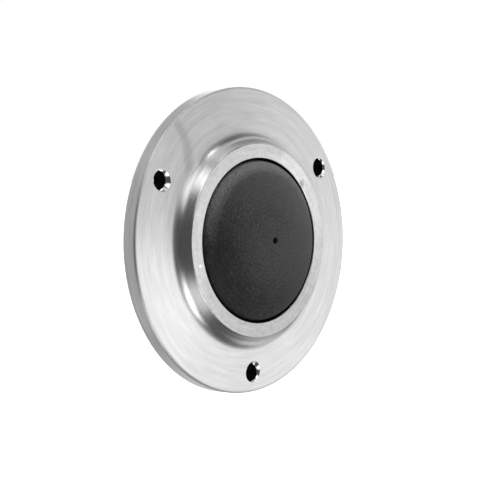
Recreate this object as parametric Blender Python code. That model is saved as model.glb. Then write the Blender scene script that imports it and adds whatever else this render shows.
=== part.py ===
"""Wall door bumper: a turned metal flange with a raised boss, and a convex rubber buffer
that a screwed steel plate holds in from behind.

Every piece is turned about local Z, which points away from the wall, so a point of a profile
is (radius, height above the wall). An empty tips the whole assembly onto its side: the back
faces +Y, the rubber faces -Y, and +Z is up. The origin is the centre of the wall face.
"""

from math import asin, cos, pi, radians, sin, sqrt, tan

import bmesh
import bpy
from mathutils import Matrix, Vector

# --- driving dimensions, in metres and degrees ---

# Flange
FLANGE_DIAMETER = 0.08255
EDGE_HEIGHT = 0.0043
FACE_SLOPE = 6.5  # the face rises inwards from the outer edge
FOOT_SLOPE = 11.0  # the cove's foot, between the face and the boss
FOOT_DISTANCE = 0.0041  # from the rim's outer edge out to where the foot starts
EASE_RADIUS = 0.025  # between the face and the foot
COVE_RADIUS = 0.0022
BOSS_WALL_SLOPE = 66.0
RIM_HEIGHT = 0.0097  # height of the rim's inner edge above the wall
RIM_WIDTH = 0.00405
RIM_DROP = 0.0001  # the rim falls this much towards its outer edge
OPENING_DIAMETER = 0.0441
FINE_BEVEL = 0.00018
BACK_BEVEL = 0.0003

# Wall screw holes
WALL_HOLE_COUNT = 3
WALL_HOLE_DIAMETER = 0.0044
WALL_HOLE_MOUTH = 0.0058
FIRST_WALL_HOLE = 270.0  # the hole at the bottom

# Rubber buffer
DOME_PROJECTION = 0.0056  # how far the dome's top stands above the rim
DOME_RADIUS = 0.0454
SHOULDER_RADIUS = 0.0016
RUBBER_GAP = 0.0006  # all round, between the rubber and the opening
COLLAR_OVERLAP = 0.00225  # how far the hidden collar reaches past the opening
COLLAR_THICKNESS = 0.0036
VENT_DIAMETER = 0.0018  # right through, so that no air is trapped behind the rubber

# Backing plate and its screws
PLATE_THICKNESS = 0.0015
PLATE_MARGIN = 0.00065  # metal between a screw's countersink and the plate's edge
POCKET_WALL = 0.0011  # metal between the rubber's pocket and a plate screw's hole
PLATE_SCREW_COUNT = 3
PLATE_SCREW_DIAMETER = 0.0025
PLATE_SCREW_HEAD = 0.0045
PLATE_SCREW_LENGTH = 0.0042
SCREW_HEAD_LAND = 0.0002
SCREW_SLOT_WIDTH = 0.0006
SCREW_SLOT_DEPTH = 0.0006
SCREW_TIP_BEVEL = 0.0003
HOLE_END_ROOM = 0.0004

FIT_GAP = 0.0003  # between pieces that touch

# --- sizes that follow from them ---

FLANGE_R = FLANGE_DIAMETER / 2
OPENING_R = OPENING_DIAMETER / 2
RIM_R = OPENING_R + RIM_WIDTH
FOOT_R = RIM_R + FOOT_DISTANCE
COLLAR_R = OPENING_R + COLLAR_OVERLAP
POCKET_R = COLLAR_R + FIT_GAP
COLLAR_BASE = PLATE_THICKNESS + FIT_GAP
COLLAR_TOP = COLLAR_BASE + COLLAR_THICKNESS
LIP_BASE = COLLAR_TOP + FIT_GAP
NECK_R = OPENING_R - RUBBER_GAP
DOME_HEIGHT = RIM_HEIGHT + DOME_PROJECTION
PLATE_HOLE_R = PLATE_SCREW_DIAMETER / 2 + FIT_GAP
PLATE_SCREW_CIRCLE_R = POCKET_R + POCKET_WALL + PLATE_HOLE_R
PLATE_R = PLATE_SCREW_CIRCLE_R + PLATE_SCREW_HEAD / 2 + FIT_GAP + PLATE_MARGIN
RECESS_R = PLATE_R + FIT_GAP
RECESS_DEPTH = PLATE_THICKNESS + FIT_GAP
WALL_HOLE_CIRCLE_R = (RECESS_R + FLANGE_R) / 2  # midway across the ring outside the recess
FIRST_PLATE_SCREW = FIRST_WALL_HOLE + 180.0 / PLATE_SCREW_COUNT

TURNED_STEPS = 72
HOLE_STEPS = 32
SCREW_STEPS = 24
SHOULDER_STEPS = 5
DOME_STEPS = 9


def rounded(corners):
    """The outline through corners of (radius, height, fillet radius, steps). Each corner with a
    fillet becomes an arc that touches both of its sides, and one step makes it a bevel."""
    points = []
    for i, (r, h, fillet, steps) in enumerate(corners):
        here = Vector((r, h))
        if not fillet:
            points.append(here)
            continue
        back = (Vector(corners[i - 1][:2]) - here).normalized()
        on = (Vector(corners[(i + 1) % len(corners)][:2]) - here).normalized()
        half = back.angle(on) / 2
        centre = here + (back + on).normalized() * (fillet / sin(half))
        start = here + back * (fillet / tan(half)) - centre
        turn = start.angle_signed(here + on * (fillet / tan(half)) - centre)
        for step in range(steps + 1):
            points.append(centre + Matrix.Rotation(-turn * step / steps, 2) @ start)
    return [(p.x, p.y) for p in points]


def rise(slope, run):
    """Height gained over a horizontal run at a slope in degrees."""
    return run * tan(radians(slope))


def face_height(radius):
    """Height of the sloping face, out beyond the cove."""
    return EDGE_HEIGHT + rise(FACE_SLOPE, FLANGE_R - radius)


def cove_corner():
    """Where the cove's foot and the boss wall would meet if nothing rounded them."""
    foot_height = face_height(FOOT_R)
    wall_rise = rise(BOSS_WALL_SLOPE, 1.0)
    foot_rise = rise(FOOT_SLOPE, 1.0)
    rim_edge = RIM_HEIGHT - RIM_DROP
    run = (rim_edge - foot_height - foot_rise * (FOOT_R - RIM_R)) / (wall_rise - foot_rise)
    return RIM_R + run, rim_edge - wall_rise * run


def flange_profile():
    return rounded([
        (FLANGE_R, 0.0, BACK_BEVEL, 1),
        (FLANGE_R, EDGE_HEIGHT, FINE_BEVEL, 1),
        (FOOT_R, face_height(FOOT_R), EASE_RADIUS, 2),
        (*cove_corner(), COVE_RADIUS, 7),
        (RIM_R, RIM_HEIGHT - RIM_DROP, FINE_BEVEL, 1),
        (OPENING_R, RIM_HEIGHT, FINE_BEVEL, 1),
        (OPENING_R, LIP_BASE, 0.0, 0),
        (POCKET_R, LIP_BASE, 0.0, 0),
        (POCKET_R, RECESS_DEPTH, 0.0, 0),
        (RECESS_R, RECESS_DEPTH, 0.0, 0),
        (RECESS_R, 0.0, 0.0, 0),
    ])


def rubber_profile():
    """Collar, neck, rounded shoulder and dome, then down the vent and back along the base."""
    dome_centre = DOME_HEIGHT - DOME_RADIUS
    shoulder_r = NECK_R - SHOULDER_RADIUS
    reach = DOME_RADIUS - SHOULDER_RADIUS
    shoulder_h = dome_centre + sqrt(reach**2 - shoulder_r**2)
    meet = asin(shoulder_r / reach)
    vent = asin(VENT_DIAMETER / 2 / DOME_RADIUS)
    points = [
        (COLLAR_R, COLLAR_BASE),
        (COLLAR_R, COLLAR_TOP),
        (NECK_R, COLLAR_TOP),
    ]
    for i in range(SHOULDER_STEPS + 1):
        a = pi / 2 + (meet - pi / 2) * i / SHOULDER_STEPS
        points.append((shoulder_r + SHOULDER_RADIUS * sin(a), shoulder_h + SHOULDER_RADIUS * cos(a)))
    for i in range(1, DOME_STEPS + 1):
        a = meet + (vent - meet) * i / DOME_STEPS
        points.append((DOME_RADIUS * sin(a), dome_centre + DOME_RADIUS * cos(a)))
    points.append((VENT_DIAMETER / 2, COLLAR_BASE))
    return points


def plate_profile():
    return rounded([
        (0.0, 0.0, 0.0, 0),
        (PLATE_R, 0.0, FINE_BEVEL, 1),
        (PLATE_R, PLATE_THICKNESS, 0.0, 0),
        (0.0, PLATE_THICKNESS, 0.0, 0),
    ])


def countersink_depth(hole_r, mouth_r):
    """Depth of a 90 degree countersink."""
    return mouth_r - hole_r


def wall_hole_cutter_profile():
    """A through hole whose countersink runs on past the face, so that it cuts cleanly."""
    hole_r = WALL_HOLE_DIAMETER / 2
    mouth_r = WALL_HOLE_MOUTH / 2
    face = face_height(WALL_HOLE_CIRCLE_R)
    past = 0.001
    return [
        (0.0, -past),
        (hole_r, -past),
        (hole_r, face - countersink_depth(hole_r, mouth_r)),
        (mouth_r + past, face + past),
        (0.0, face + past),
    ]


def plate_screw_profile(gap, tip_room):
    """A countersunk screw from the wall side, or with a gap the hole that it goes into."""
    shank_r = PLATE_SCREW_DIAMETER / 2 + gap
    head_r = PLATE_SCREW_HEAD / 2 + gap
    cone_top = SCREW_HEAD_LAND + countersink_depth(shank_r, head_r)
    tip = PLATE_SCREW_LENGTH + tip_room
    return [
        (0.0, 0.0),
        (head_r, 0.0),
        (head_r, SCREW_HEAD_LAND),
        (shank_r, cone_top),
        (shank_r, tip - SCREW_TIP_BEVEL),
        (shank_r - SCREW_TIP_BEVEL, tip),
        (0.0, tip),
    ]


def deepened(profile, depth):
    """The same profile with its flat back, at height 0, moved down by depth."""
    return [(r, -depth if h == 0.0 else h) for r, h in profile]


def turned_mesh(name, profile, steps):
    """A closed mesh made by spinning a closed profile once around Z."""
    bm = bmesh.new()
    ring = [bm.verts.new((r, 0.0, h)) for r, h in profile]
    count = len(ring)
    open_ends = profile[0][0] == 0.0 and profile[-1][0] == 0.0
    edges = [
        bm.edges.new((ring[i], ring[(i + 1) % count]))
        for i in range(count - 1 if open_ends else count)
    ]
    bmesh.ops.spin(
        bm,
        geom=ring + edges,
        cent=(0.0, 0.0, 0.0),
        axis=(0.0, 0.0, 1.0),
        angle=2 * pi,
        steps=steps,
        use_merge=True,
    )
    bmesh.ops.remove_doubles(bm, verts=bm.verts, dist=1e-6)
    bmesh.ops.recalc_face_normals(bm, faces=bm.faces)
    mesh = bpy.data.meshes.new(name)
    bm.to_mesh(mesh)
    bm.free()
    mesh.shade_smooth()
    mesh.set_sharp_from_angle(angle=radians(30.0))
    return mesh


def slot_mesh(name):
    """A bar across a plate screw's head, which cuts the screwdriver slot."""
    half = Vector((PLATE_SCREW_HEAD, SCREW_SLOT_WIDTH / 2, SCREW_SLOT_DEPTH))
    bm = bmesh.new()
    bmesh.ops.create_cube(bm, size=2.0)
    bmesh.ops.scale(bm, vec=half, verts=bm.verts)
    mesh = bpy.data.meshes.new(name)
    bm.to_mesh(mesh)
    bm.free()
    return mesh


def make_material(name, colour, metallic, roughness):
    material = bpy.data.materials.new(name)
    material.use_nodes = True
    shader = material.node_tree.nodes["Principled BSDF"]
    shader.inputs["Base Color"].default_value = (*colour, 1.0)
    shader.inputs["Metallic"].default_value = metallic
    shader.inputs["Roughness"].default_value = roughness
    return material


def place(name, mesh, parent, location=(0.0, 0.0, 0.0), turn=0.0):
    obj = bpy.data.objects.new(name, mesh)
    obj.parent = parent
    obj.location = location
    obj.rotation_euler = (0.0, 0.0, turn)
    bpy.context.scene.collection.objects.link(obj)
    return obj


def place_cutter(name, mesh, parent, location, turn=0.0):
    cutter = place(name, mesh, parent, location, turn)
    cutter.hide_render = True
    cutter.display_type = "WIRE"
    return cutter


def cut(piece, cutter):
    modifier = piece.modifiers.new(cutter.name, "BOOLEAN")
    modifier.operation = "DIFFERENCE"
    modifier.solver = "EXACT"
    modifier.object = cutter


def on_circle(radius, first, count, steps):
    """(location, turn) of each place of a ring of holes or screws that have this many steps.
    Half a step of turn keeps their corners off the edges of the face that they cut."""
    places = [radians(first + 360.0 * i / count) for i in range(count)]
    return [((radius * cos(a), radius * sin(a), 0.0), a + pi / steps) for a in places]


def build():
    for old in list(bpy.data.objects):
        bpy.data.objects.remove(old, do_unlink=True)

    satin_metal = make_material("satin_metal", (0.62, 0.62, 0.61), 1.0, 0.32)
    black_rubber = make_material("black_rubber", (0.028, 0.028, 0.029), 0.0, 0.62)
    plated_steel = make_material("plated_steel", (0.5, 0.5, 0.49), 1.0, 0.45)
    screw_steel = make_material("screw_steel", (0.42, 0.42, 0.42), 1.0, 0.38)

    assembly = bpy.data.objects.new("wall_bumper", None)
    assembly.rotation_euler = (pi / 2, 0.0, 0.0)
    bpy.context.scene.collection.objects.link(assembly)

    flange = place("base_flange", turned_mesh("base_flange", flange_profile(), TURNED_STEPS), assembly)
    flange.data.materials.append(satin_metal)

    rubber = place("rubber_bumper", turned_mesh("rubber_bumper", rubber_profile(), TURNED_STEPS), assembly)
    rubber.data.materials.append(black_rubber)

    plate = place("backing_plate", turned_mesh("backing_plate", plate_profile(), TURNED_STEPS), assembly)
    plate.data.materials.append(plated_steel)

    hole = turned_mesh("wall_hole_cutter", wall_hole_cutter_profile(), HOLE_STEPS)
    wall_holes = on_circle(WALL_HOLE_CIRCLE_R, FIRST_WALL_HOLE, WALL_HOLE_COUNT, HOLE_STEPS)
    for number, (location, turn) in enumerate(wall_holes, 1):
        cut(flange, place_cutter(f"wall_hole_{number}", hole, assembly, location, turn))

    screw = turned_mesh("plate_screw", plate_screw_profile(0.0, 0.0), SCREW_STEPS)
    screw.materials.append(screw_steel)
    screw_hole = turned_mesh(
        "screw_hole_cutter",
        deepened(plate_screw_profile(FIT_GAP, HOLE_END_ROOM), FIT_GAP),
        SCREW_STEPS,
    )
    slot = slot_mesh("screw_slot_cutter")
    plate_screws = on_circle(
        PLATE_SCREW_CIRCLE_R, FIRST_PLATE_SCREW, PLATE_SCREW_COUNT, SCREW_STEPS
    )
    for number, (location, turn) in enumerate(plate_screws, 1):
        hole_cutter = place_cutter(f"plate_screw_hole_{number}", screw_hole, assembly, location, turn)
        cut(flange, hole_cutter)
        cut(plate, hole_cutter)
        plate_screw = place(f"plate_screw_{number}", screw, assembly, location, turn)
        cut(plate_screw, place_cutter(f"plate_screw_slot_{number}", slot, assembly, location, turn))


build()
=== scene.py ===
# %% [markdown]
# # A wall door bumper in satin metal and black rubber
#
# The real thing is three turned or pressed pieces and three small screws. A metal flange is
# turned on a lathe: a thin disc that swells through a smooth cove into a raised boss. A rubber
# dome is pushed in from behind, and a steel plate with three countersunk screws keeps it there.
#
# This script loads the measured model as a fixed frame and gives every piece a finer mesh and
# a finish. Everything is in metres. The wall is the plane y = 0, and the rubber faces -Y.

# %% Load the frame
from math import asin, atan2, cos, degrees, pi, radians, sin, sqrt, tan

import bmesh
import bpy
from mathutils import Matrix, Vector


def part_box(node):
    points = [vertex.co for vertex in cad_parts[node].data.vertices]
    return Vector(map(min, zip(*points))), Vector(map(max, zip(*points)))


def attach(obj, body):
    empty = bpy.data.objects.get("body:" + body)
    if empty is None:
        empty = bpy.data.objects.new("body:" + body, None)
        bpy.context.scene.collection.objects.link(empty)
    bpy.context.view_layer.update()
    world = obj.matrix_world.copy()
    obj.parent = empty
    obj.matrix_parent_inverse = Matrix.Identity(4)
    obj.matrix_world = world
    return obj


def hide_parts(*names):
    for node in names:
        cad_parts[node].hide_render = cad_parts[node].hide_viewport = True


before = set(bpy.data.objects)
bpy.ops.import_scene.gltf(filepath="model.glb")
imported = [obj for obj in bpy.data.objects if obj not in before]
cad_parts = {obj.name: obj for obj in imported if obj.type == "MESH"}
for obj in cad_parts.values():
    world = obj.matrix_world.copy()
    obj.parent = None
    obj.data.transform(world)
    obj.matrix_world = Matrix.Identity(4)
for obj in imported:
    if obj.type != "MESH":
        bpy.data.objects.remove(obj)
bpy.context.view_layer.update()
MM = 0.001

# %% [markdown]
# ## The camera
#
# A camera is placed by three directions: where its back points, where its right side points and
# where its top points. Far away with a long lens keeps the circle a clean ellipse, as product
# pictures do. The camera stands to the left of the axis and a little above it, and its slight
# roll is what puts the bottom screw hole off the picture's upright.

# %% Camera
FLANGE_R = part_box("base_flange")[1].x
CAMERA_AZIMUTH = -46.8
CAMERA_ELEVATION = 3.88
CAMERA_ROLL = -2.62
CAMERA_DISTANCE = 12 * FLANGE_R
AIM_RIGHT = 0.041 * FLANGE_R
AIM_DOWN = 0.0 * FLANGE_R
LENS = 136.9


def camera_axes(azimuth, elevation, roll):
    """(right, up, back) of a camera that looks at the origin from that side."""
    a, e = radians(azimuth), radians(elevation)
    back = Vector((sin(a) * cos(e), -cos(a) * cos(e), sin(e)))
    right = Vector((cos(a), sin(a), 0.0))
    up = back.cross(right)
    tip = Matrix.Rotation(radians(roll), 3, back)
    return tip @ right, tip @ up, back


right, up, back = camera_axes(CAMERA_AZIMUTH, CAMERA_ELEVATION, CAMERA_ROLL)
camera = bpy.data.objects.new("camera", bpy.data.cameras.new("camera"))
camera.data.lens = LENS
camera.data.sensor_width = 36.0
camera.data.clip_start = 0.01
place = back * CAMERA_DISTANCE + right * AIM_RIGHT - up * AIM_DOWN
turn = Matrix((right, up, back)).transposed().to_4x4()
camera.matrix_world = Matrix.Translation(place) @ turn
bpy.context.scene.collection.objects.link(camera)
bpy.context.scene.camera = camera
bpy.context.scene.view_settings.view_transform = "Standard"
print("camera right", [round(v, 3) for v in right], "up", [round(v, 3) for v in up])

# %% [markdown]
# ## Arithmetic for shaders
#
# A shader is a graph of nodes, and most of a procedural finish is plain arithmetic on a point's
# place. Wiring Math nodes by hand hides that, so this small class wraps an output socket and
# lets Python's operators add the nodes: `1 - mask * 0.5` builds two of them. Every other node
# comes from one method, `node`, which sets the node's options first and its sockets after.


# %% A wire that does arithmetic
class Wire:
    """An output socket of a node tree, or with no socket just the tree itself."""

    def __init__(self, tree, socket=None):
        self.tree = tree
        self.socket = socket

    def node(self, kind, settings=None, sockets=None, out=0):
        made = self.tree.nodes.new(kind)
        for name, value in (settings or {}).items():
            setattr(made, name, value)
        for key, value in (sockets or {}).items():
            if isinstance(value, Wire):
                self.tree.links.new(value.socket, made.inputs[key])
            else:
                made.inputs[key].default_value = value
        return Wire(self.tree, made.outputs[out])

    def math(self, operation, a, b=0.0):
        return self.node("ShaderNodeMath", {"operation": operation}, {0: a, 1: b})

    def __add__(self, other):
        return self.math("ADD", self, other)

    __radd__ = __add__

    def __sub__(self, other):
        return self.math("SUBTRACT", self, other)

    def __rsub__(self, other):
        return self.math("SUBTRACT", other, self)

    def __mul__(self, other):
        return self.math("MULTIPLY", self, other)

    __rmul__ = __mul__

    def __truediv__(self, other):
        return self.math("DIVIDE", self, other)

    def __rtruediv__(self, other):
        return self.math("DIVIDE", other, self)

    def __pow__(self, other):
        return self.math("POWER", self, other)

    def clip(self):
        return self.math("MINIMUM", self.math("MAXIMUM", self, 0.0), 1.0)

    def step(self, low, high):
        """0 below low and 1 above high, with a smooth ramp between; high may be the lower."""
        return self.node(
            "ShaderNodeMapRange",
            {"interpolation_type": "SMOOTHSTEP"},
            {"Value": self, "From Min": low, "From Max": high},
        )

    def toward(self, other, share):
        """This value moved to other by share, which may be a wire."""
        return self + (other - self) * share

    def parts(self):
        """The x, y and z of a vector."""
        split = self.tree.nodes.new("ShaderNodeSeparateXYZ")
        self.tree.links.new(self.socket, split.inputs[0])
        return [Wire(self.tree, split.outputs[i]) for i in range(3)]

    def vector(self, x, y, z):
        return self.node("ShaderNodeCombineXYZ", None, {0: x, 1: y, 2: z})

    def noise(self, vector, scale=1.0, detail=2.0, roughness=0.5):
        return self.node(
            "ShaderNodeTexNoise",
            {"noise_dimensions": "3D"},
            {"Vector": vector, "Scale": scale, "Detail": detail, "Roughness": roughness},
        )


# %% [markdown]
# ## The light tent
#
# Satin metal has hardly any colour of its own: what it shows is the room. A photographer puts
# such a piece in a dim tent and hangs white panels round it. The gap left for the camera comes
# out as the dark band on the boss wall, and the ends of the panels give the highlights beside it.
#
# The panels could be area lights, but those would stand in the way of the other views. The world
# shader can hold the whole tent instead: each panel is a window of azimuth and elevation with
# soft edges, added to a dim room. A flag takes light away, so its brightness is negative.
# Azimuth runs from -Y towards +X. The camera sees plain white.

# %% Light tent
ROOM_LEVEL = 0.09
TENT = [
    # name, azimuth, half width, elevation, half height, soft edge (all in degrees), brightness
    ("roof softbox", -92, 36, 70, 16, 10, 2.0),
    ("ceiling", 90, 100, 80, 16, 10, 0.75),
    ("roof strip", -28, 24, 45, 15, 8, 2.0),
    ("small lamp", 25, 7, 60, 5, 3, 7.0),
    ("table card", -24, 26, -42, 12, 9, 3.2),
    ("table card left", -92, 26, -56, 18, 10, 1.0),
    ("floor bounce", 112, 40, -58, 14, 10, 0.3),
    ("key softbox", 42, 28, -13, 12, 8, 1.29),
    ("key left", 27, 16, -8, 9, 6, 0.42),
    ("key skirt", 46, 34, -31, 7, 8, 0.28),
    ("key right", 68, 18, 4, 13, 10, 0.42),
    ("key upper", 42, 34, 16, 13, 9, 0.63),
    ("cove glow", 4, 15, 28, 8, 7, 1.1),
    ("side wall", 112, 26, 24, 40, 10, 1.15),
    ("side wall low", 100, 30, -42, 14, 10, 0.75),
    ("rear wall", 180, 66, 6, 54, 12, 0.5),
    ("rear wall low", 150, 36, -42, 16, 12, 0.25),
]

world = bpy.data.worlds.new("light_tent")
bpy.context.scene.world = world
world.use_nodes = True
world.node_tree.nodes.clear()
sky = Wire(world.node_tree)
east, north, height = sky.node("ShaderNodeTexCoord", out="Generated").parts()
azimuth = sky.math("ARCTAN2", east, 0.0 - north) * degrees(1.0)
elevation = sky.math("ARCSINE", height) * degrees(1.0)


def panel(turn, half_width, lift, half_height, soft):
    """1 inside a window of azimuth and elevation, fading to 0 over its soft edge."""
    across = sky.node(
        "ShaderNodeMath", {"operation": "WRAP"}, {0: azimuth - turn, 1: 180.0, 2: -180.0}
    )
    across = sky.math("ABSOLUTE", across).step(half_width + soft, half_width - soft)
    upward = sky.math("ABSOLUTE", elevation - lift).step(half_height + soft, half_height - soft)
    return across * upward


level = ROOM_LEVEL + 0.0 * height
for name, turn, half_width, lift, half_height, soft, brightness in TENT:
    level = level + panel(turn, half_width, lift, half_height, soft) * brightness
is_camera = sky.node("ShaderNodeLightPath", out="Is Camera Ray")
shine = level.toward(1.0, is_camera)
light = sky.node("ShaderNodeBackground", None, {"Color": (1.0, 1.0, 1.0, 1.0), "Strength": shine})
output = world.node_tree.nodes.new("ShaderNodeOutputWorld")
world.node_tree.links.new(light.socket, output.inputs["Surface"])
print("light tent with", len(TENT), "panels")

# %% [markdown]
# ## The floor
#
# A wall bumper stands on nothing, so the floor is only a pale sheet well below it. It glows a
# little, as a lit paper sweep does, and takes no part in the reflections: the tent's own lower
# panels are what the metal should mirror.

# %% Floor
FLOOR_DROP = 0.12
FLOOR_HALF = 3.0
paper = bpy.data.materials.new("floor_paper")
paper.use_nodes = True
paper_tree = Wire(paper.node_tree)
paper.node_tree.nodes["Principled BSDF"].inputs["Base Color"].default_value = (0.9, 0.9, 0.9, 1.0)
paper.node_tree.nodes["Principled BSDF"].inputs["Roughness"].default_value = 0.9
paper.node_tree.nodes["Principled BSDF"].inputs["Emission Color"].default_value = (1.0, 1.0, 1.0, 1.0)
paper.node_tree.nodes["Principled BSDF"].inputs["Emission Strength"].default_value = 0.8
floor_mesh = bpy.data.meshes.new("floor")
corners = [(-FLOOR_HALF, -FLOOR_HALF), (FLOOR_HALF, -FLOOR_HALF), (FLOOR_HALF, FLOOR_HALF), (-FLOOR_HALF, FLOOR_HALF)]
floor_mesh.from_pydata([(x, y, -FLOOR_DROP) for x, y in corners], [], [(0, 1, 2, 3)])
floor_mesh.materials.append(paper)
floor = bpy.data.objects.new("floor", floor_mesh)
floor.visible_glossy = False
floor.visible_diffuse = False
floor.visible_shadow = False
bpy.context.scene.collection.objects.link(floor)

# %% [markdown]
# ## Outlines
#
# Every piece here is turned, so each starts as an outline of (radius, height above the wall)
# in millimetres. Written as corners with fillets, an outline stays short and readable.
# Bevelling the finished mesh would do too, but it leaves long triangles beside the holes.
#
# Smooth shading spreads the bend of a small fillet over the whole face beside it. A holding
# point just outside each arc keeps the flat faces flat.


# %% Rounded outline
def outline(corners, hold=0.1):
    """Points through corners of (radius, height, fillet radius, steps), with fillets as arcs."""
    points = []
    for i, (r, h, fillet, steps) in enumerate(corners):
        here = Vector((r, h))
        if not fillet:
            points.append(here)
            continue
        back = (Vector(corners[i - 1][:2]) - here).normalized()
        on = (Vector(corners[(i + 1) % len(corners)][:2]) - here).normalized()
        half = back.angle(on) / 2
        reach = fillet / tan(half)
        centre = here + (back + on).normalized() * (fillet / sin(half))
        start = here + back * reach - centre
        sweep = start.angle_signed(here + on * reach - centre)
        points.append(here + back * (reach + hold))
        for step in range(steps + 1):
            points.append(centre + Matrix.Rotation(-sweep * step / steps, 2) @ start)
        points.append(here + on * (reach + hold))
    return [(p.x, p.y) for p in points]


def bend(a, b, c, steps):
    """Points on a small curve from a to c that leaves and arrives along the lines through b."""
    shares = [i / steps for i in range(steps + 1)]
    return [
        tuple((1 - t) ** 2 * p + 2 * t * (1 - t) * q + t * t * r for p, q, r in zip(a, b, c))
        for t in shares
    ]


# %% [markdown]
# ## Turning and drilling
#
# Turning lays the outline's points in rings and joins the rings with four-sided faces. A hole
# is drilled by leaving a square window of faces out, and filling it with a sleeve: rings that
# change from the window's square border to a circle, go down the hole, and either meet a second
# window on the other side or close at a drill point. A Boolean would be shorter, but the
# sleeve keeps every face four-sided and lets the mouth of the hole be rounded.


# %% Turned mesh with drilled holes
def ring_rows(bm, points, steps):
    """One row of vertices for each point of the outline; a point on the axis is one vertex."""
    rows = []
    for r, h in points:
        if r == 0.0:
            rows.append([bm.verts.new((0.0, 0.0, h))] * steps)
            continue
        row = []
        for j in range(steps):
            a = 2 * pi * j / steps
            reach = r(a) if callable(r) else r
            row.append(bm.verts.new((reach * cos(a), reach * sin(a), h)))
        rows.append(row)
    return rows


def join_rows(bm, rows, closed, windows=()):
    """Faces between neighbouring rows, except in windows of (row, last row, step, last step)."""
    steps = len(rows[0])
    skipped = {
        (k, j % steps)
        for low, high, first, last in windows
        for k in range(min(low, high), max(low, high))
        for j in range(first, last)
    }
    for k in range(len(rows) if closed else len(rows) - 1):
        here, beyond = rows[k], rows[(k + 1) % len(rows)]
        for j in range(steps):
            if (k, j) in skipped:
                continue
            n = (j + 1) % steps
            corners = list(dict.fromkeys([here[j], here[n], beyond[n], beyond[j]]))
            if len(corners) > 2:
                bm.faces.new(corners)


def window_border(rows, window):
    """The vertices round a window, from its first row's first step."""
    low, high, first, last = window
    side = 1 if high > low else -1
    steps = len(rows[0])
    cells = [(k, first) for k in range(low, high, side)]
    cells += [(high, j) for j in range(first, last)]
    cells += [(k, last) for k in range(high, low, -side)]
    cells += [(low, j) for j in range(last, first, -1)]
    return [rows[k][j % steps] for k, j in cells]


def sleeve(bm, border, centre, paths, far_border=None, morph=4):
    """Fills a window with a hole. paths[i] is the list of (distance from the hole's axis,
    height) that the hole's wall follows below border vertex i."""
    count = len(border)
    radius, turn = centre
    out = Vector((cos(turn), sin(turn), 0.0))
    side = Vector((-sin(turn), cos(turn), 0.0))
    middle = out * radius

    def spot(i, rho, h):
        a = -pi / 4 - 2 * pi * i / count
        return middle + (out * cos(a) + side * sin(a)) * rho + Vector((0.0, 0.0, h))

    rings = [border]
    walls = [[spot(i, *paths[i][s]) for i in range(count)] for s in range(len(paths[0]))]
    first = [v.co.copy() for v in border]
    for m in range(1, morph):
        rings.append([bm.verts.new(first[i].lerp(walls[0][i], m / morph)) for i in range(count)])
    for wall in walls:
        rings.append([bm.verts.new(p) for p in wall])
    if far_border:
        last = [v.co.copy() for v in far_border]
        for m in range(1, morph):
            rings.append([bm.verts.new(walls[-1][i].lerp(last[i], m / morph)) for i in range(count)])
        rings.append(far_border)
    for near, far in zip(rings, rings[1:]):
        for i in range(count):
            n = (i + 1) % count
            bm.faces.new([near[i], near[n], far[n], far[i]])
    if not far_border:
        tip = bm.verts.new(middle + Vector((0.0, 0.0, paths[0][-1][1])))
        for i in range(count):
            bm.faces.new([rings[-1][i], rings[-1][(i + 1) % count], tip])


SHARP_ANGLE = 35.0


def turned_piece(name, bm, material, node, seat=Matrix.Identity(4)):
    """The finished object: scaled to metres, shaded, tipped onto its side and riding the frame."""
    loose = [v for v in bm.verts if not v.link_faces]
    bmesh.ops.delete(bm, geom=loose, context="VERTS")
    bmesh.ops.scale(bm, vec=(MM, MM, MM), verts=bm.verts)
    bmesh.ops.recalc_face_normals(bm, faces=bm.faces)
    open_edges = sum(not e.is_manifold for e in bm.edges)
    mesh = bpy.data.meshes.new(name)
    bm.to_mesh(mesh)
    bm.free()
    mesh.shade_smooth()
    mesh.set_sharp_from_angle(angle=radians(SHARP_ANGLE))
    mesh.materials.append(material)
    piece = bpy.data.objects.new(name, mesh)
    piece.matrix_world = Matrix.Rotation(pi / 2, 4, "X") @ seat
    bpy.context.scene.collection.objects.link(piece)
    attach(piece, "root")
    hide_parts(node)
    print(name, len(mesh.polygons), "faces,", open_edges, "open edges")
    return piece

# %% [markdown]
# ## The flange
#
# The flange is turned from bar or cast and then turned: a thin sloping face, a cove, a steep
# boss wall and a flat rim round the opening. The face and the cove meet in a wide, almost
# invisible ease, which is what makes the light roll over it without a line. Its back has a
# stepped pocket for the rubber's collar and the plate.
#
# Only the outer sizes can be read from the frame. The others are the turner's own sizes.

# %% Flange sizes, in millimetres and degrees
GAP = 0.3
EDGE = 4.3
FACE_SLOPE = 6.5
FOOT_SLOPE = 11.0
FOOT = 4.1
RIM = 9.7
RIM_WIDTH = 4.05
RIM_FALL = 0.1
WALL_SLOPE = 66.0
LIP_BASE = 5.7
NECK_GAP = 0.6

flange_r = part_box("base_flange")[1].x / MM
collar_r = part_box("rubber_bumper")[1].x / MM
collar_base = -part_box("rubber_bumper")[1].y / MM
plate_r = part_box("backing_plate")[1].x / MM
plate_depth = -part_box("backing_plate")[0].y / MM
opening_r = collar_r - 2.25
rim_r = opening_r + RIM_WIDTH
foot_r = rim_r + FOOT
recess_r = plate_r + GAP
recess_depth = plate_depth + GAP
pocket_r = collar_r + GAP
wall_hole_circle = (recess_r + flange_r) / 2
plate_screw_circle = pocket_r + 1.1 + 1.25 + GAP
print("flange radius", round(flange_r, 3), "opening", round(opening_r, 3), "plate", round(plate_r, 3))


def rise(slope, run):
    return run * tan(radians(slope))


def face_height(r):
    """Height of the sloping face, outside the ease."""
    return EDGE + rise(FACE_SLOPE, flange_r - r)


def spread(start, end, count):
    """Equally spaced values, both ends included."""
    return [start + (end - start) * i / count for i in range(count + 1)]


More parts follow.
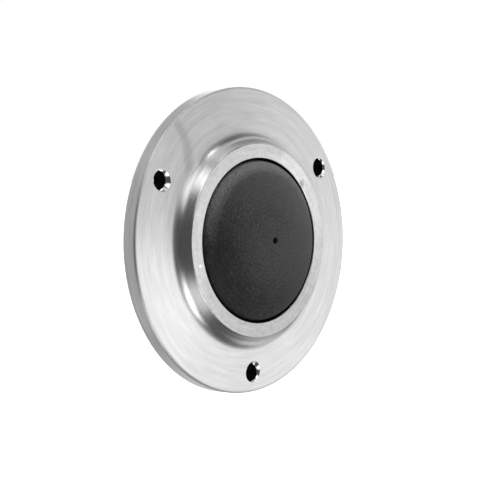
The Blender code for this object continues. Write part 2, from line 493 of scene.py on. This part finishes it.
# %% Flange outline
WALL_HOLE = 2.2
WALL_MOUTH = 2.82
COUNTERSINK_RISE = 1.15
WINDOW_CELLS = 12
WINDOW_HALF = 3.75
PILOT = 1.55
PILOT_MOUTH = 2.55
PILOT_WINDOW_CELLS = 10
PILOT_WINDOW_HALF = 2.1

foot_height = face_height(foot_r)
wall_rise, foot_rise = rise(WALL_SLOPE, 1.0), rise(FOOT_SLOPE, 1.0)
rim_edge = RIM - RIM_FALL
wall_run = (rim_edge - foot_height - foot_rise * FOOT) / (wall_rise - foot_rise)
cove = (rim_r + wall_run, rim_edge - wall_rise * wall_run)

hole_rows = spread(wall_hole_circle + WINDOW_HALF, wall_hole_circle - WINDOW_HALF, WINDOW_CELLS)
pilot_rows = spread(plate_screw_circle + PILOT_WINDOW_HALF, plate_screw_circle - PILOT_WINDOW_HALF,
                    PILOT_WINDOW_CELLS)
rim_rows = spread(rim_r - 0.7, opening_r + 0.6, 6)


def plain(rows, height):
    """Corners without fillets at these radii; height is a number or a function of the radius."""
    return [(r, height(r) if callable(height) else height, 0.0, 0) for r in rows]


flange_outline = outline(
    [
        (flange_r, 0.0, 0.3, 4),
        *[(flange_r, h, 0.0, 0) for h in spread(0.9, EDGE - 0.6, 4)],
        (flange_r, EDGE, 0.5, 6),
        *plain(hole_rows, face_height),
        (foot_r, foot_height, 25.0, 8),
        (*cove, 3.6, 20),
        (rim_r, rim_edge, 0.5, 6),
        *plain(rim_rows, lambda r: rim_edge + RIM_FALL * (rim_r - r) / RIM_WIDTH),
        (opening_r, RIM, 0.25, 5),
        *[(opening_r, h, 0.0, 0) for h in spread(8.7, 6.7, 3)],
        (opening_r, LIP_BASE, 0.15, 2),
        (pocket_r, LIP_BASE, 0.0, 0),
        (pocket_r, recess_depth, 0.15, 2),
        *plain(pilot_rows[::-1], recess_depth),
        (recess_r, recess_depth, 0.0, 0),
        (recess_r, 0.0, 0.15, 2),
        *plain(hole_rows[::-1], 0.0),
    ]
)
print("flange outline has", len(flange_outline), "points")

# %% Satin metal stands in until the finishes are made
satin = bpy.data.materials.new("satin_metal")
satin.use_nodes = True

# %% Turn and drill the flange
FLANGE_STEPS = 360


def near_row(points, r, h):
    """The row of the outline's point nearest to a radius and a height."""
    return min(range(len(points)), key=lambda k: (points[k][0] - r) ** 2 + (points[k][1] - h) ** 2)


def drill_window(points, rows, height, turn, cells, steps):
    """The window round a hole: from its outer row to its inner one, and its steps."""
    middle = round(turn / 360.0 * steps)
    level = height if callable(height) else (lambda r: height)
    low = near_row(points, rows[0], level(rows[0]))
    high = near_row(points, rows[-1], level(rows[-1]))
    return low, high, middle - cells // 2, middle + cells // 2


def wall_hole_path(i, count):
    """Down a countersunk through hole on the sloping face, from its rounded mouth."""
    a = -pi / 4 - 2 * pi * i / count
    slope = tan(radians(FACE_SLOPE))
    mouth = WALL_MOUTH / (1 + slope * cos(a) / COUNTERSINK_RISE)
    centre_h = face_height(wall_hole_circle)
    cone = centre_h - (WALL_MOUTH - WALL_HOLE) * COUNTERSINK_RISE

    def on_face(rho):
        return face_height(sqrt(wall_hole_circle**2 + rho**2 + 2 * wall_hole_circle * rho * cos(a)))

    lip, throat, burr = 0.045, 0.1, 0.17
    path = bend(
        (mouth + lip, on_face(mouth + lip)),
        (mouth, on_face(mouth)),
        (mouth - lip, cone + (mouth - lip - WALL_HOLE) * COUNTERSINK_RISE),
        3,
    )
    path += bend(
        (WALL_HOLE + throat, cone + throat * COUNTERSINK_RISE),
        (WALL_HOLE, cone),
        (WALL_HOLE, cone - 2 * throat),
        3,
    )
    path += [(WALL_HOLE, h) for h in spread(cone - 1.0, 1.0, 3)]
    return path + [(WALL_HOLE, 0.5), (WALL_HOLE - burr, 0.25), (WALL_HOLE - burr, 0.0)]


def pilot_hole_path(top):
    """A screw's pilot hole in the recess: the last of the countersink, then a blind hole."""
    cone_end = 0.2 + PILOT_MOUTH - PILOT
    start = max(PILOT, PILOT_MOUTH - (top - 0.2))
    return [
        (start + 0.1, top),
        (start, top + 0.03),
        (PILOT, max(cone_end, top + 0.05)),
        (PILOT, 3.2),
        (PILOT, 4.3),
        (PILOT - 0.3, 4.6),
        (PILOT / 2, 4.6),
    ]


bm = bmesh.new()
rows = ring_rows(bm, flange_outline, FLANGE_STEPS)
wall_turns = [270.0, 30.0, 150.0]
pilot_turns = [330.0, 90.0, 210.0]
face_windows = [
    drill_window(flange_outline, hole_rows, face_height, t, WINDOW_CELLS, FLANGE_STEPS)
    for t in wall_turns
]
back_windows = [
    drill_window(flange_outline, hole_rows, 0.0, t, WINDOW_CELLS, FLANGE_STEPS) for t in wall_turns
]
pilot_windows = [
    drill_window(flange_outline, pilot_rows, recess_depth, t, PILOT_WINDOW_CELLS, FLANGE_STEPS)
    for t in pilot_turns
]
join_rows(bm, rows, True, face_windows + back_windows + pilot_windows)
for turn, front, back in zip(wall_turns, face_windows, back_windows):
    near, far = window_border(rows, front), window_border(rows, back)
    paths = [wall_hole_path(i, len(near)) for i in range(len(near))]
    sleeve(bm, near, (wall_hole_circle, radians(turn)), paths, far)
for turn, window in zip(pilot_turns, pilot_windows):
    near = window_border(rows, window)
    paths = [pilot_hole_path(recess_depth)] * len(near)
    sleeve(bm, near, (plate_screw_circle, radians(turn)), paths)
flange = turned_piece("turned_flange", bm, satin, "base_flange")

# %% [markdown]
# ## The rubber
#
# The buffer is moulded: a collar that the flange's lip holds down, a neck, a rounded shoulder
# and a shallow dome with a vent through its middle. An arc of a large circle gives the dome,
# and a small arc that touches it gives the shoulder, so there is no crease between them.

# %% Mould the rubber
RUBBER_STEPS = 240
DOME_RADIUS = 45.4
SHOULDER_RADIUS = 1.6
COLLAR_THICKNESS = 3.6
VENT = 0.9
VENT_LIP = 0.22

rubber_top = -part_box("rubber_bumper")[0].y / MM
neck_r = opening_r - NECK_GAP
collar_top = collar_base + COLLAR_THICKNESS
dome_centre = rubber_top - sqrt(DOME_RADIUS**2 - VENT**2)
shoulder_r = neck_r - SHOULDER_RADIUS
shoulder_h = dome_centre + sqrt((DOME_RADIUS - SHOULDER_RADIUS) ** 2 - shoulder_r**2)
meet = asin(shoulder_r / (DOME_RADIUS - SHOULDER_RADIUS))
inner = asin((VENT + VENT_LIP) / DOME_RADIUS)


def dome_height(r):
    return dome_centre + sqrt(DOME_RADIUS**2 - r**2)


dome_points = [
    (shoulder_r + SHOULDER_RADIUS * sin(a), shoulder_h + SHOULDER_RADIUS * cos(a))
    for a in spread(pi / 2, meet, 12)
]
dome_points += [
    (DOME_RADIUS * sin(a), dome_centre + DOME_RADIUS * cos(a)) for a in spread(meet, inner, 44)[1:]
]
lip_h = dome_height(VENT + VENT_LIP)
dome_points += bend((VENT + VENT_LIP, lip_h), (VENT, lip_h), (VENT, lip_h - VENT_LIP), 4)[1:]
rubber_outline = outline(
    [
        (collar_r, collar_base, 0.35, 3),
        (collar_r, collar_top, 0.35, 3),
        (neck_r, collar_top, 0.2, 3),
        *[(r, h, 0.0, 0) for r, h in dome_points],
        *[(VENT, h, 0.0, 0) for h in spread(rubber_top - 2.0, collar_base + 1.0, 5)],
        (VENT, collar_base, 0.15, 2),
        *[(r, collar_base, 0.0, 0) for r in spread(5.0, 20.0, 3)],
    ]
)
rubber_finish = bpy.data.materials.new("moulded_rubber")
rubber_finish.use_nodes = True
bm = bmesh.new()
join_rows(bm, ring_rows(bm, rubber_outline, RUBBER_STEPS), True)
rubber = turned_piece("moulded_buffer", bm, rubber_finish, "rubber_bumper")

# %% [markdown]
# ## The plate
#
# A pressed steel disc closes the pocket from behind. Its three holes are countersunk from the
# wall side, so that nothing stands proud of the flange's back.

# %% Press and countersink the plate
PLATE_WINDOW_CELLS = 12
PLATE_WINDOW_HALF = 2.85
PLATE_EDGE = 0.15

plate_rows = spread(plate_screw_circle + PLATE_WINDOW_HALF, plate_screw_circle - PLATE_WINDOW_HALF,
                    PLATE_WINDOW_CELLS)
plate_outline = outline(
    [
        (0.0, 0.0, 0.0, 0),
        *plain([2.0, 6.0, 12.0, 18.0, 22.0], 0.0),
        *plain(plate_rows[::-1], 0.0),
        (plate_r, 0.0, PLATE_EDGE, 3),
        (plate_r, plate_depth, PLATE_EDGE, 3),
        *plain(plate_rows, plate_depth),
        *plain([22.0, 18.0, 12.0, 6.0, 2.0], plate_depth),
        (0.0, plate_depth, 0.0, 0),
    ],
    hold=0.02,
)
plate_hole_path = [
    *bend((PILOT_MOUTH + 0.08, 0.0), (PILOT_MOUTH, 0.0), (PILOT_MOUTH, 0.08), 2),
    (PILOT_MOUTH, 0.18),
    (PILOT_MOUTH - 0.05, 0.25),
    (PILOT + 0.05, 1.15),
    (PILOT, 1.22),
    *bend((PILOT, plate_depth - 0.08), (PILOT, plate_depth), (PILOT + 0.08, plate_depth), 2),
]
plated = bpy.data.materials.new("plated_steel")
plated.use_nodes = True
bm = bmesh.new()
rows = ring_rows(bm, plate_outline, FLANGE_STEPS)
back_windows, front_windows = [
    [drill_window(plate_outline, plate_rows, h, t, PLATE_WINDOW_CELLS, FLANGE_STEPS) for t in pilot_turns]
    for h in (0.0, plate_depth)
]
join_rows(bm, rows, False, back_windows + front_windows)
for turn, near, far in zip(pilot_turns, back_windows, front_windows):
    near, far = window_border(rows, near), window_border(rows, far)
    sleeve(bm, near, (plate_screw_circle, radians(turn)), [plate_hole_path] * len(near), far)
plate = turned_piece("pressed_plate", bm, plated, "backing_plate")

# %% [markdown]
# ## The plate screws
#
# Three slotted countersunk machine screws. The thread is a ridge that climbs one pitch each
# turn, so a vertex's radius depends on its height and on its angle together. The slot is the
# one cut here that a Boolean makes best: a straight bar through a round head.

# %% Thread and slot the screws
SCREW_STEPS = 48
HEAD_R = 2.25
HEAD_LAND = 0.2
SHANK_R = 1.25
SCREW_LENGTH = 4.2
PITCH = 0.45
THREAD_DEPTH = 0.24
SLOT_WIDTH = 0.6
SLOT_DEPTH = 0.6


def thread_radius(h):
    """The shank's radius at a height, as a function of the angle."""

    def at(angle):
        wave = (h / PITCH - angle / (2 * pi)) % 1.0
        ridge = min(1.0, 1.35 * (1.0 - abs(2.0 * wave - 1.0)))
        fade = min(1.0, (h - 1.3) / 0.5, (SCREW_LENGTH - 0.15 - h) / 0.4)
        return SHANK_R - THREAD_DEPTH * (1.0 - ridge) * max(0.0, fade)

    return at


screw_outline = outline(
    [
        (0.0, 0.0, 0.0, 0),
        (1.0, 0.0, 0.0, 0),
        (HEAD_R, 0.0, 0.05, 3),
        (HEAD_R, HEAD_LAND, 0.06, 3),
        (SHANK_R, HEAD_LAND + HEAD_R - SHANK_R, 0.1, 3),
    ],
    hold=0.02,
)
screw_outline = screw_outline[:-1] + [(thread_radius(h), h) for h in spread(1.35, 3.9, 46)]
screw_outline += [(SHANK_R - 0.3, SCREW_LENGTH), (0.5, SCREW_LENGTH), (0.0, SCREW_LENGTH)]
screw_finish = bpy.data.materials.new("screw_steel")
screw_finish.use_nodes = True


def slot_bar():
    """The bar that cuts a screwdriver slot, in metres."""
    bm = bmesh.new()
    bmesh.ops.create_cube(bm, size=2.0)
    bmesh.ops.scale(bm, vec=(3.0 * MM, SLOT_WIDTH / 2 * MM, SLOT_DEPTH * MM), verts=bm.verts)
    mesh = bpy.data.meshes.new("slot_bar")
    bm.to_mesh(mesh)
    bm.free()
    return bpy.data.objects.new("slot_bar", mesh)


def cut_slot(piece):
    """Cuts the slot through the head, breaks its edges, and keeps the result as the mesh."""
    bar = slot_bar()
    bpy.context.scene.collection.objects.link(bar)
    bar.matrix_world = piece.matrix_world
    cut = piece.modifiers.new("slot", "BOOLEAN")
    cut.operation = "DIFFERENCE"
    cut.solver = "EXACT"
    cut.object = bar
    broken = piece.modifiers.new("broken_edges", "BEVEL")
    broken.limit_method = "ANGLE"
    broken.angle_limit = radians(60.0)
    broken.width = 0.04 * MM
    broken.segments = 2
    bpy.context.view_layer.update()
    graph = bpy.context.evaluated_depsgraph_get()
    made = bpy.data.meshes.new_from_object(piece.evaluated_get(graph))
    piece.modifiers.clear()
    piece.data = made
    made.set_sharp_from_angle(angle=radians(35.0))
    bpy.data.objects.remove(bar)


slot_turns = [20.0, 75.0, -35.0]
for number, (turn, slot_turn) in enumerate(zip(pilot_turns, slot_turns), 1):
    bm = bmesh.new()
    join_rows(bm, ring_rows(bm, screw_outline, SCREW_STEPS), False)
    a = radians(turn)
    seat = Matrix.Translation((plate_screw_circle * cos(a) * MM, plate_screw_circle * sin(a) * MM, 0.0))
    seat = seat @ Matrix.Rotation(radians(slot_turn), 4, "Z")
    screw = turned_piece(f"slotted_screw_{number}", bm, screw_finish, f"plate_screw_{number}", seat)
    cut_slot(screw)

# %% [markdown]
# ## Finishes
#
# A finish starts as a Principled shader. What is the same all over is set on its sockets, and
# what varies is worked out from the point's own place on the piece, in millimetres: its
# distance from the axis, its height above the wall and its direction round the axis.


# %% Helpers for finishes
def finish(material, constants):
    """(wire, shader) of a material whose Principled shader has these socket values."""
    shader = material.node_tree.nodes["Principled BSDF"]
    for socket, value in constants.items():
        shader.inputs[socket].default_value = value
    return Wire(material.node_tree), shader


def feed(wire, shader, socket):
    wire.tree.links.new(wire.socket, shader.inputs[socket])


def turned_place(wire):
    """x, y, height, distance from the axis, and the cosine and sine of the direction, in mm."""
    x, y, h = [part * (1 / MM) for part in wire.node("ShaderNodeTexCoord", out="Object").parts()]
    r = wire.math("SQRT", x * x + y * y + 0.0001)
    return x, y, h, r, x / r, y / r


def lathe_lines(wire, r_cos, r_sin, along, length, width, detail=3.0):
    """Noise drawn out round the axis: streaks of about this length and width in mm."""
    turns = 24.0 / length
    place = wire.vector(r_cos * turns, r_sin * turns, along * (1 / width))
    return wire.noise(place, 1.0, detail, 0.6)


# %% [markdown]
# ## Satin metal
# The flange is brushed while it turns, so its scratches run round the axis. Three things carry
# that look. The shader's anisotropy spreads reflections across the scratches. Streaks of noise,
# drawn out round the axis, vary the tone and the roughness. A bump of finer streaks breaks the
# reflections up. The countersinks are cut after brushing and stay bright, and the thin edges are
# rubbed brighter than the faces. The drilled walls and the throat of the opening are painted near
# black as shade. The tone also carries painted light: a painted shade on the rim's lower side, a
# painted highlight on the rim towards the upper right and a dark painted reflection line across
# the upper left of the face.

# %% Satin metal
w, shader = finish(
    satin, {"Metallic": 1.0, "Roughness": 0.3, "Anisotropic": 0.65, "Anisotropic Rotation": 0.25}
)
x, y, h, r, r_cos, r_sin = turned_place(w)
along = r - h
fine = lathe_lines(w, r_cos, r_sin, along, 9.0, 0.13)
broad = lathe_lines(w, r_cos, r_sin, along, 16.0, 0.9)
patches = w.noise(w.vector(x, y, h), 0.12, 2.0)
hole_distance = 100.0 + 0.0 * x
for turn in wall_turns:
    cx, cy = wall_hole_circle * cos(radians(turn)), wall_hole_circle * sin(radians(turn))
    d = w.math("SQRT", (x - cx) * (x - cx) + (y - cy) * (y - cy))
    hole_distance = w.math("MINIMUM", hole_distance, d)
below_face = EDGE + (flange_r - r) * rise(FACE_SLOPE, 1.0) - h
front = h.step(2.0, 2.6)
chamfer = hole_distance.step(3.6, 3.4) * below_face.step(0.02, 0.06) * front
# Painted shade: the drilled walls and the throat of the opening are made near black, where they lie in shade.
painted_bore_shade = hole_distance.step(WALL_HOLE + 0.06, WALL_HOLE + 0.01)
throat = r.step(opening_r + 0.08, opening_r + 0.02) * h.step(RIM - 0.2, RIM - 0.45)
painted_hole_shade = w.math("MAXIMUM", painted_bore_shade, throat)
blotches = w.noise(w.vector(r_cos * 3.0, r_sin * 3.0, along * 0.8), 1.0, 4.0, 0.65)


def spot(centre_x, centre_y, size, soft):
    """1 near a place on the face, falling to 0 over a soft edge, in mm."""
    across, up = x - centre_x, y - centre_y
    return w.math("SQRT", across * across + up * up).step(size + soft, size)


on_rim = r.step(rim_r + 0.3, rim_r - 0.1)
# Painted shade: the rim's tone is made darker towards its lower side, as the light falls.
painted_rim_shade = (0.35 - r_sin).clip() * on_rim
smudge = spot(17.9, 14.2, 0.2, 1.5) * on_rim * (0.5 + blotches)
nick = spot(-23.2, -4.8, 0.1, 0.6)
# Painted reflection: a soft dark line across the upper left of the face, where a dark edge of the room would reflect.
above, under = w.math("MAXIMUM", y - 25.0, 0.0), w.math("MAXIMUM", 20.0 - y, 0.0)
reflection_line_x = x + 21.4 + above * above * 0.05 + under * 0.25
# Painted highlight: a brighter band on the rim towards the upper right, broken up by the blotches.
glow = (r_cos * cos(radians(50)) + r_sin * sin(radians(50))).step(0.95, 0.985) * on_rim
glow = glow * (0.6 + blotches * 0.8)
pitting = (w.noise(w.vector(x, y, h), 1.1, 4.0, 0.7) - 0.5) * on_rim
painted_reflection_line = w.math("ABSOLUTE", reflection_line_x).step(2.6, 0.2) * y.step(9.0, 15.0) * front * r.step(flange_r - 0.2, flange_r - 0.8)
tone = 0.62 + (fine - 0.5) * 0.26 + (broad - 0.5) * 0.14 + (blotches - 0.5) * 0.26 + (patches - 0.5) * 0.06
tone = tone * (1.0 - painted_rim_shade * 0.3) * (1.0 - painted_reflection_line * 0.22) * (1.0 - smudge * 0.5) + nick * 0.3 + glow * 0.07 + pitting * 0.35
tone = tone.toward(0.75, chamfer).toward(0.004, painted_hole_shade)
rough = 0.29 + (fine - 0.5) * 0.14 + (patches - 0.5) * 0.08
edge = r.step(flange_r - 0.7, flange_r - 0.35) * h.step(EDGE - 0.8, EDGE - 0.4)
rough = rough.toward(0.5, edge)
rough = rough.toward(0.12, chamfer).toward(0.6, painted_hole_shade)
feed(tone.clip(), shader, "Base Color")
feed(rough.clip(), shader, "Roughness")
grooves = w.node("ShaderNodeBump", None, {"Strength": 0.25, "Distance": 0.00002, "Height": fine})
feed(grooves, shader, "Normal")

# %% [markdown]
# ## Moulded rubber

# %% Moulded rubber
w, shader = finish(rubber_finish, {"Metallic": 0.0, "Roughness": 0.55, "Specular IOR Level": 0.36})
x, y, h, r, r_cos, r_sin = turned_place(w)
grain = w.noise(w.vector(x, y, h), 2.4, 4.0, 0.7)
cloud = w.noise(w.vector(x, y, h), 0.35, 3.0)
rings = w.math("SINE", r * 5.0 + cloud * 4.0)
# Scuffs and painted sheen: grainy lighter marks on the shoulder, kept mostly to its upper side where the light catches
# it.
upper_shoulder_scuffs_and_sheen = r.step(17.5, 20.4) * (0.05 + 0.95 * (r_sin * 1.1 - 0.1 - r_cos * 0.2).clip())
scuffs_and_painted_sheen = upper_shoulder_scuffs_and_sheen * (grain * 1.6 - 0.25).clip()
# Painted light and shade: towards its edge the rubber is made lighter at the top and right and darker at the left and
# bottom.
painted_light_and_shade = r.step(5.0, 20.0) * (r_sin.clip() * 0.055 + r_cos * 0.014 - 0.029)
tone = 0.042 + painted_light_and_shade + (grain - 0.5) * 0.17 + (cloud - 0.5) * 0.03 + rings * 0.004 + scuffs_and_painted_sheen * 0.22
rough = 0.55 + (cloud - 0.5) * 0.15
# Painted shade: a near black ring at the neck, in the gap under the flange's rim, fading out towards the left side.
tone = tone.clip().toward(0.004, r.step(neck_r - 0.4, neck_r - 0.15) * (r_cos + 0.7).clip())
feed(tone.clip(), shader, "Base Color")
feed(rough.clip(), shader, "Roughness")
skin = w.node("ShaderNodeBump", None, {"Strength": 0.5, "Distance": 0.0002, "Height": grain + rings * 0.05})
feed(skin, shader, "Normal")

# %% Plated steel
w, shader = finish(plated, {"Metallic": 1.0, "Roughness": 0.42})
x, y, h, r, r_cos, r_sin = turned_place(w)
spangle = w.noise(w.vector(x, y, h), 0.5, 4.0, 0.6)
rolled = w.noise(w.vector(x * 0.08, y * 3.0, h), 1.0, 3.0, 0.6)
tone = 0.5 + (spangle - 0.5) * 0.12 + (rolled - 0.5) * 0.08
rough = 0.4 + (spangle - 0.5) * 0.2
feed(tone.clip(), shader, "Base Color")
feed(rough.clip(), shader, "Roughness")
feed(w.node("ShaderNodeBump", None, {"Strength": 0.2, "Distance": 0.00003, "Height": rolled}), shader, "Normal")

# %% Screw steel
w, shader = finish(screw_finish, {"Metallic": 1.0, "Roughness": 0.35})
x, y, h, r, r_cos, r_sin = turned_place(w)
turned_lines = w.noise(w.vector(r_cos, r_sin, (r + h) * 5.0), 1.0, 3.0, 0.6)
feed((0.42 + (turned_lines - 0.5) * 0.12).clip(), shader, "Base Color")
feed((0.34 + (turned_lines - 0.5) * 0.2).clip(), shader, "Roughness")
feed(w.node("ShaderNodeBump", None, {"Strength": 0.2, "Distance": 0.00002, "Height": turned_lines}), shader, "Normal")

# %% The end
bpy.context.view_layer.update()
